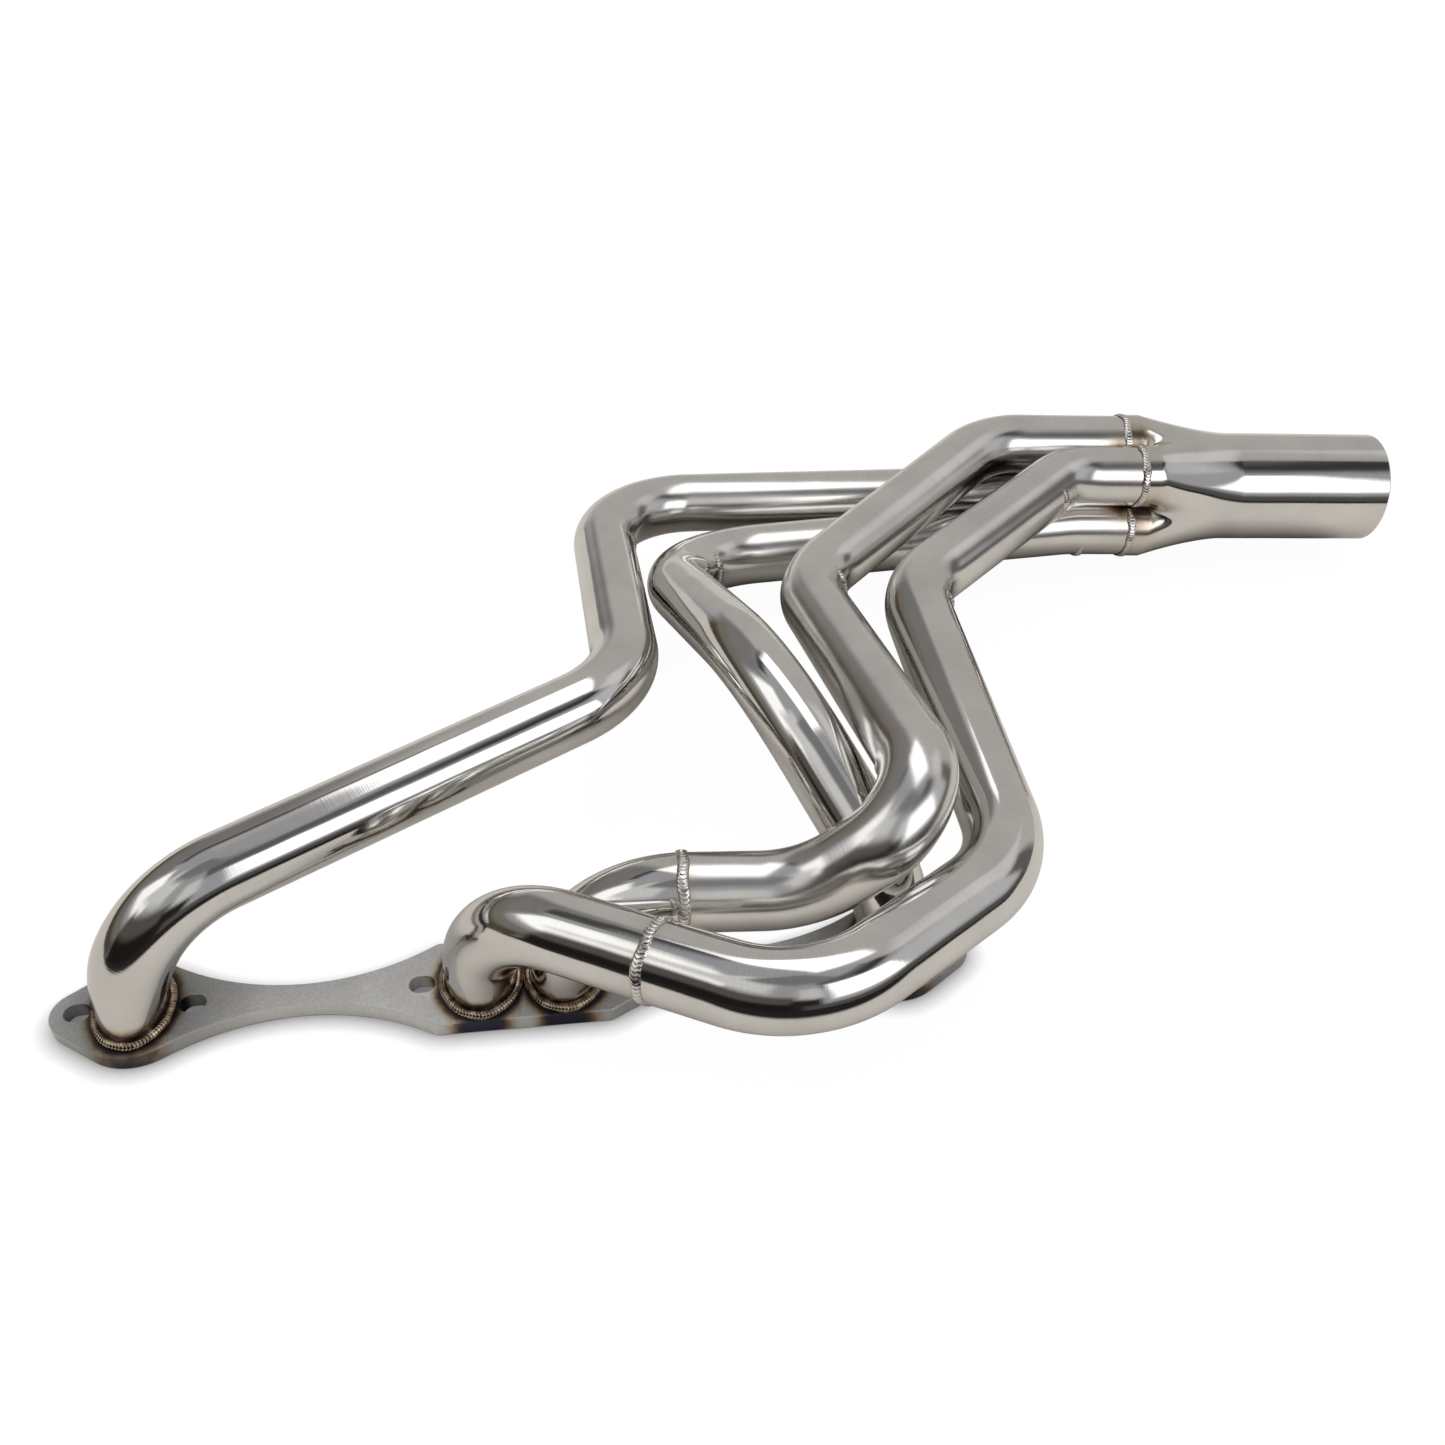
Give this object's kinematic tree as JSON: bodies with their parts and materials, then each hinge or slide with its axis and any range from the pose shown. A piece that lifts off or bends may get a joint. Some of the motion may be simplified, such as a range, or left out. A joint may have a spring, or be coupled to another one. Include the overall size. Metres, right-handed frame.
{
  "type": "exhaust manifold",
  "caption": "Long-tube exhaust header: slotted flange plate, bent and welded primary tubes that merge into a straight round collector outlet.",
  "frame": {"origin": "middle of the flange plate's face that bolts to the cylinder head, between the two middle ports", "axes": "+Z out of the cylinder head, +X along the flange towards the collector outlet, +Y from the flange towards the collector"},
  "size_m": [0.8749, 0.5158, 0.1402],
  "materials": {
    "blasted_plate": "bead blasted with heat tint near the welds",
    "polished_tube": "mirror polished stainless",
    "polished_collector": "mirror polished stainless",
    "weld_bead": "rippled TIG bead",
    "port_weld_bead": "rippled bead, heat tinted brown and straw"
  },
  "bodies": {
    "root": {"flange_plate": "blasted_plate", "primary_1_port_run": "polished_tube", "primary_1_collector_leg": "polished_tube", "primary_1_seam_weld_1": "weld_bead", "primary_1_port_weld": "port_weld_bead", "collector_inlet_weld_1": "weld_bead", "primary_2_port_elbow": "polished_tube", "primary_2_lower_run": "polished_tube", "primary_2_upper_run": "polished_tube", "primary_2_collector_leg": "polished_tube", "primary_2_seam_weld_1": "weld_bead", "primary_2_seam_weld_2": "weld_bead", "primary_2_seam_weld_3": "weld_bead", "primary_2_port_weld": "port_weld_bead", "collector_inlet_weld_2": "weld_bead", "primary_3_port_elbow": "polished_tube", "primary_3_tight_bend": "polished_tube", "primary_3_upper_run": "polished_tube", "primary_3_collector_leg": "polished_tube", "primary_3_seam_weld_1": "weld_bead", "primary_3_seam_weld_2": "weld_bead", "primary_3_seam_weld_3": "weld_bead", "primary_3_port_weld": "port_weld_bead", "collector_inlet_weld_3": "weld_bead", "primary_4_port_run": "polished_tube", "primary_4_upper_run": "polished_tube", "primary_4_collector_leg": "polished_tube", "primary_4_seam_weld_1": "weld_bead", "primary_4_seam_weld_2": "weld_bead", "primary_4_port_weld": "port_weld_bead", "collector_inlet_weld_4": "weld_bead", "collector_merge": "polished_collector", "merge_plug": "polished_collector", "collector_outlet": "polished_collector"}
  },
  "joints": []
}
